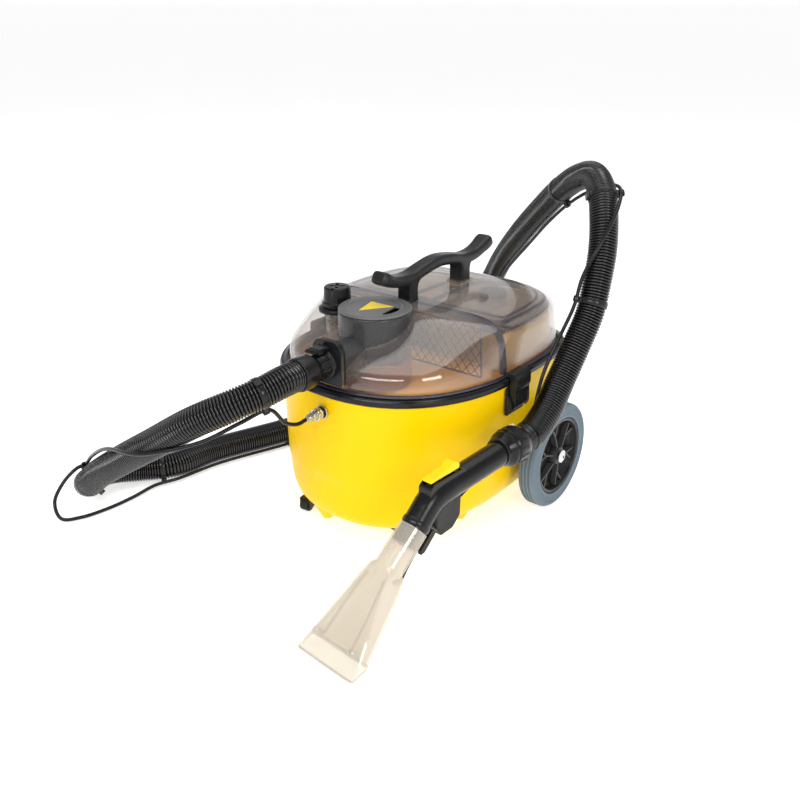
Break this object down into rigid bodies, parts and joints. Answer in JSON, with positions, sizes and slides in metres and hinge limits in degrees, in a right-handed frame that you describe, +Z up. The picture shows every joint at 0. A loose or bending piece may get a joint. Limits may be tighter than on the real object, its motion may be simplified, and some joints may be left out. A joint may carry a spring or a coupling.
{
  "type": "portable carpet cleaner",
  "caption": "Portable spray-extraction carpet cleaner: tub on large wheels and casters, clear lift-off lid with handle, suction hose, solution line and hand tool with clear nozzle.",
  "frame": {"origin": "on the floor, at the centre of the box round the machine and its hand tool, without the hose and the solution line", "axes": "+Z up, -Y the machine's front, where the hose leaves the lid, +X the side where the hand tool stands"},
  "size_m": [0.7069, 0.9782, 0.5416],
  "materials": {
    "tub_yellow": "satin moulded polyethylene, yellow",
    "trigger_yellow": "gloss, yellow",
    "black_plastic": "satin black, lightly grained",
    "grey_plastic": "satin dark grey, lightly grained",
    "cover_grey": "satin mid grey",
    "smoked_clear": "clear smoked moulding",
    "smoked_inner": "translucent brown moulding",
    "amber_inner": "translucent brown moulding with orange behind it",
    "clear_nozzle": "clear moulding, a little cream",
    "hose_black": "glossy corrugated, black",
    "line_black": "satin, black",
    "tyre_grey": "matt blue-grey rubber",
    "steel": "plated",
    "nickel": "dull nickel plate",
    "brass": "satin",
    "tank_white": "natural polyethylene",
    "deck_orange": "satin, orange",
    "pump_paint": "dark blue paint",
    "motor_paint": "grey paint",
    "rubber_black": "matt",
    "rocker_red": "gloss, red",
    "float_white": "matt, off-white"
  },
  "bodies": {
    "base": {"tub_shell": "tub_yellow", "rim_band": "black_plastic", "tank_deck": "deck_orange", "solution_tank": "tank_white", "pump_body": "pump_paint", "suction_line": "tank_white", "supply_line": "line_black", "motor_cradle": "steel", "motor_frame": "motor_paint", "fan_housing": "grey_plastic", "vacuum_riser": "smoked_inner", "exhaust_grille": "black_plastic", "switch_bezel": "black_plastic", "power_gland": "black_plastic", "rear_axle": "steel", "axle_cap_left": "steel", "axle_cap_right": "steel", "solution_coupler": "nickel", "latch_base_left": "black_plastic", "latch_base_right": "black_plastic", "hose_connector": "black_plastic", "vacuum_hose": "hose_black", "tool_nozzle": "clear_nozzle", "tool_grip": "black_plastic", "tool_valve": "grey_plastic", "jet_line": "line_black", "spray_jet": "brass", "line_plug": "nickel", "solution_line": "line_black"},
    "lid": {"lid_dome": "smoked_clear", "inlet_housing": "grey_plastic", "inlet_cover": "cover_grey", "inlet_chamber": "amber_inner", "filler_neck": "smoked_clear", "lid_cross_wall": "smoked_inner", "lid_screen": "smoked_inner", "rear_plenum": "smoked_inner", "plenum_floor": "smoked_inner", "float_cage": "black_plastic", "carry_handle": "grey_plastic"},
    "wheel_left": {"wheel_hub_left": "black_plastic", "wheel_tyre_left": "tyre_grey"},
    "wheel_right": {"wheel_hub_right": "black_plastic", "wheel_tyre_right": "tyre_grey"},
    "filler_cap": {"filler_cap": "black_plastic"},
    "float_ball": {"float_ball": "float_white"},
    "motor_rotor": {"motor_rotor": "steel"},
    "pump_plunger": {"pump_plunger": "steel"},
    "caster_fork_left": {"caster_fork_left": "black_plastic"},
    "caster_fork_right": {"caster_fork_right": "black_plastic"},
    "caster_wheel_left": {"caster_wheel_left": "rubber_black"},
    "caster_wheel_right": {"caster_wheel_right": "rubber_black"},
    "coupler_sleeve": {"coupler_sleeve": "nickel"},
    "latch_left": {"latch_left": "black_plastic"},
    "latch_right": {"latch_right": "black_plastic"},
    "connector_lock": {"connector_lock": "black_plastic"},
    "tool_trigger": {"tool_trigger": "trigger_yellow"},
    "valve_plunger": {"valve_plunger": "steel"},
    "rocker_vacuum": {"rocker_vacuum": "rocker_red"},
    "rocker_pump": {"rocker_pump": "black_plastic"}
  },
  "joints": [
    {"name": "lid_lift", "type": "slide", "parent": "base", "child": "lid", "axis": [0, 0, 1], "range_m": [0, 0.12]},
    {"name": "filler_cap_turn", "type": "hinge", "parent": "lid", "child": "filler_cap", "pos_m": [-0.10007, 0.00962, 0.35], "axis": [0, 0, 1], "range_deg": [0, 90]},
    {"name": "float_rise", "type": "slide", "parent": "lid", "child": "float_ball", "axis": [0, 0, 1], "range_m": [0, 0.008]},
    {"name": "rotor_spin", "type": "hinge", "parent": "base", "child": "motor_rotor", "pos_m": [0.03692, 0.26162, 0.12], "axis": [0, 0, 1], "continuous": true},
    {"name": "plunger_stroke", "type": "slide", "parent": "base", "child": "pump_plunger", "axis": [0, -1, 0], "range_m": [0, 0.005], "stiffness_N_per_m": 500, "springref_m": -0.002},
    {"name": "wheel_left_spin", "type": "hinge", "parent": "base", "child": "wheel_left", "pos_m": [-0.23488, 0.19462, 0.09], "axis": [1, 0, 0], "continuous": true},
    {"name": "wheel_right_spin", "type": "hinge", "parent": "base", "child": "wheel_right", "pos_m": [0.20872, 0.19462, 0.09], "axis": [1, 0, 0], "continuous": true},
    {"name": "caster_left_swivel", "type": "hinge", "parent": "base", "child": "caster_fork_left", "pos_m": [-0.10107, -0.06038, 0.022], "axis": [0, 0, 1], "continuous": true},
    {"name": "caster_right_swivel", "type": "hinge", "parent": "base", "child": "caster_fork_right", "pos_m": [0.07493, -0.06038, 0.022], "axis": [0, 0, 1], "continuous": true},
    {"name": "caster_left_roll", "type": "hinge", "parent": "caster_fork_left", "child": "caster_wheel_left", "pos_m": [-0.09774, -0.08415, 0.011], "axis": [0.9903, 0.1392, 0], "continuous": true},
    {"name": "caster_right_roll", "type": "hinge", "parent": "caster_fork_right", "child": "caster_wheel_right", "pos_m": [0.08469, -0.03846, 0.011], "axis": [-0.9135, 0.4067, 0], "continuous": true},
    {"name": "sleeve_pull", "type": "slide", "parent": "base", "child": "coupler_sleeve", "axis": [0, 1, 0], "range_m": [0, 0.004], "stiffness_N_per_m": 400, "springref_m": -0.002},
    {"name": "latch_left_open", "type": "hinge", "parent": "base", "child": "latch_left", "pos_m": [-0.21857, 0.09762, 0.212], "axis": [0, -1, 0], "range_deg": [0, 30]},
    {"name": "latch_right_open", "type": "hinge", "parent": "base", "child": "latch_right", "pos_m": [0.19243, 0.09762, 0.212], "axis": [0, 1, 0], "range_deg": [0, 30]},
    {"name": "lock_press", "type": "hinge", "parent": "base", "child": "connector_lock", "pos_m": [-0.01307, -0.13468, 0.318], "axis": [-1, 0, 0], "range_deg": [0, 3], "stiffness_Nm_per_rad": 0.6, "springref_deg": -5.73},
    {"name": "trigger_squeeze", "type": "hinge", "parent": "base", "child": "tool_trigger", "pos_m": [0.20831, -0.16345, 0.1915], "axis": [-0.9945, 0.1045, 0], "range_deg": [0, 3.8], "stiffness_Nm_per_rad": 0.6, "springref_deg": -8.59},
    {"name": "valve_stroke", "type": "slide", "parent": "base", "child": "valve_plunger", "axis": [0, 0, -1], "range_m": [0, 0.0021]},
    {"name": "rocker_vacuum_tip", "type": "hinge", "parent": "base", "child": "rocker_vacuum", "pos_m": [-0.09508, 0.35162, 0.205], "axis": [1, 0, 0], "range_deg": [-8, 8]},
    {"name": "rocker_pump_tip", "type": "hinge", "parent": "base", "child": "rocker_pump", "pos_m": [-0.05908, 0.35162, 0.205], "axis": [1, 0, 0], "range_deg": [-8, 8]}
  ],
  "couplings": [
    {"joint": "valve_stroke", "follows": "trigger_squeeze", "m_per_rad": 0.031}
  ]
}
